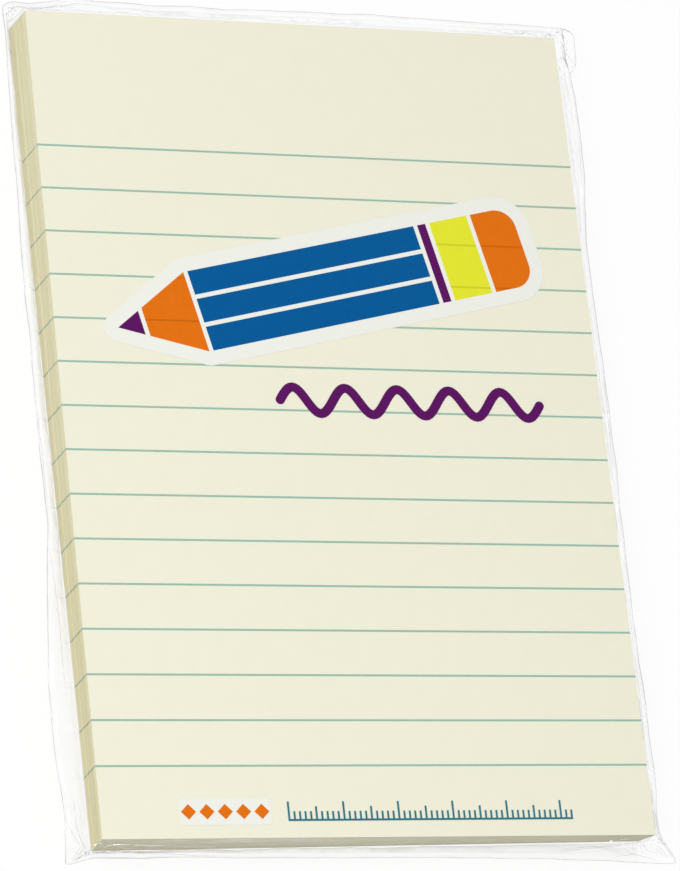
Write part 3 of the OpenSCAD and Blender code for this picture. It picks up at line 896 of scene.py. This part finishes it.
# Print on the film: flat fields of glossy ink, each a little mottled. The pale ground, blue
# and plum cover the ruled lines. Lime and orange are thinner, and darken where a line lies
# under them.
mottle = bpy.data.node_groups.new("Ink mottle", "ShaderNodeTree")
mottle.interface.new_socket(name="Tone", in_out="OUTPUT", socket_type="NodeSocketFloat")
g_out = mottle.nodes.new("NodeGroupOutput")
coords = mottle.nodes.new("ShaderNodeTexCoord")
blotch = mottle.nodes.new("ShaderNodeTexNoise")
blotch.inputs["Scale"].default_value = 900
blotch.inputs["Detail"].default_value = 4
mottle.links.new(coords.outputs["Object"], blotch.inputs["Vector"])
mottle.links.new(blotch.outputs["Fac"], g_out.inputs["Tone"])

# A mask of the ruled lines, from their place down the sheet. No line lies below Lowest.
show = bpy.data.node_groups.new("Lines beneath", "ShaderNodeTree")
show.interface.new_socket(name="First line", in_out="INPUT", socket_type="NodeSocketFloat")
show.interface.new_socket(name="Pitch", in_out="INPUT", socket_type="NodeSocketFloat")
show.interface.new_socket(name="Lowest", in_out="INPUT", socket_type="NodeSocketFloat")
show.interface.new_socket(name="Line", in_out="OUTPUT", socket_type="NodeSocketFloat")
g_in = show.nodes.new("NodeGroupInput")
g_out = show.nodes.new("NodeGroupOutput")
coords = show.nodes.new("ShaderNodeTexCoord")
place = show.nodes.new("ShaderNodeSeparateXYZ")
show.links.new(coords.outputs["Object"], place.inputs[0])
from_first = show.nodes.new("ShaderNodeMath")
from_first.operation = "SUBTRACT"
show.links.new(place.outputs["Y"], from_first.inputs[0])
show.links.new(g_in.outputs["First line"], from_first.inputs[1])
in_pitches = show.nodes.new("ShaderNodeMath")
in_pitches.operation = "DIVIDE"
show.links.new(from_first.outputs[0], in_pitches.inputs[0])
show.links.new(g_in.outputs["Pitch"], in_pitches.inputs[1])
off_line = show.nodes.new("ShaderNodeMath")
off_line.operation = "PINGPONG"
off_line.inputs[1].default_value = 0.5
show.links.new(in_pitches.outputs[0], off_line.inputs[0])
fade = show.nodes.new("ShaderNodeMapRange")
fade.inputs["From Min"].default_value = 0.016
fade.inputs["From Max"].default_value = 0.030
fade.inputs["To Min"].default_value = 1
fade.inputs["To Max"].default_value = 0
show.links.new(off_line.outputs[0], fade.inputs["Value"])
above = show.nodes.new("ShaderNodeMath")
above.operation = "GREATER_THAN"
show.links.new(place.outputs["Y"], above.inputs[0])
show.links.new(g_in.outputs["Lowest"], above.inputs[1])
line_mask = show.nodes.new("ShaderNodeMath")
line_mask.operation = "MULTIPLY"
show.links.new(fade.outputs[0], line_mask.inputs[0])
show.links.new(above.outputs[0], line_mask.inputs[1])
show.links.new(line_mask.outputs[0], g_out.inputs["Line"])

# Each ink: its two tones, its cover, and the tone left over a ruled line (0 hides the line)
first_line_y = sheet_l / 2 - head_margin
no_line_below = -63
for name, slot, dark, light, cover, thin in (
    ("print_ground", "ink_pale", (0.92, 0.925, 0.86), (0.95, 0.955, 0.89), 0.86, 0),
    ("print_blue", "ink_blue", (0.0, 0.09, 0.28), (0.001, 0.105, 0.32), 1, 0),
    ("print_lime", "ink_lime", (0.80, 0.82, 0.025), (0.85, 0.86, 0.045), 0.92, 0.8),
    ("print_orange", "ink_orange", (0.78, 0.165, 0.003), (0.84, 0.185, 0.008), 0.92, 0.8),
    ("print_plum", "ink_plum", (0.092, 0.005, 0.10), (0.11, 0.007, 0.12), 1, 0),
    ("print_teal", "ink_teal", (0.022, 0.16, 0.22), (0.032, 0.19, 0.25), 1, 0),
):
    piece = nodes[name]
    mat = bpy.data.materials.new(slot)
    mat.use_nodes = True
    tree = mat.node_tree
    bsdf = tree.nodes["Principled BSDF"]
    out = tree.nodes["Material Output"]
    group = tree.nodes.new("ShaderNodeGroup")
    group.node_tree = mottle
    ramp = tree.nodes.new("ShaderNodeMix")
    ramp.data_type = "RGBA"
    ramp.inputs[6].default_value = (*dark, 1)
    ramp.inputs[7].default_value = (*light, 1)
    tree.links.new(group.outputs["Tone"], ramp.inputs[0])
    ink_color = ramp.outputs[2]
    if thin:
        beneath = tree.nodes.new("ShaderNodeGroup")
        beneath.node_tree = show
        beneath.inputs["First line"].default_value = first_line_y * MM
        beneath.inputs["Pitch"].default_value = line_pitch * MM
        beneath.inputs["Lowest"].default_value = no_line_below * MM
        darker = tree.nodes.new("ShaderNodeMix")
        darker.data_type = "RGBA"
        darker.blend_type = "MULTIPLY"
        darker.inputs[7].default_value = (thin, thin, thin, 1)
        tree.links.new(beneath.outputs["Line"], darker.inputs[0])
        tree.links.new(ink_color, darker.inputs[6])
        ink_color = darker.outputs[2]
    tree.links.new(ink_color, bsdf.inputs["Base Color"])
    waves = tree.nodes.new("ShaderNodeGroup")
    waves.node_tree = ripple
    waves.inputs["Depth"].default_value = 0.1
    tree.links.new(waves.outputs["Normal"], bsdf.inputs["Normal"])
    bsdf.inputs["Roughness"].default_value = 0.3
    bsdf.inputs["Specular IOR Level"].default_value = 0.06
    if cover < 1:
        clear = tree.nodes.new("ShaderNodeBsdfTransparent")
        mix = tree.nodes.new("ShaderNodeMixShader")
        mix.inputs[0].default_value = cover
        tree.links.new(clear.outputs[0], mix.inputs[1])
        tree.links.new(bsdf.outputs[0], mix.inputs[2])
        tree.links.new(mix.outputs[0], out.inputs["Surface"])
    piece.data.materials.clear()
    piece.data.materials.append(mat)
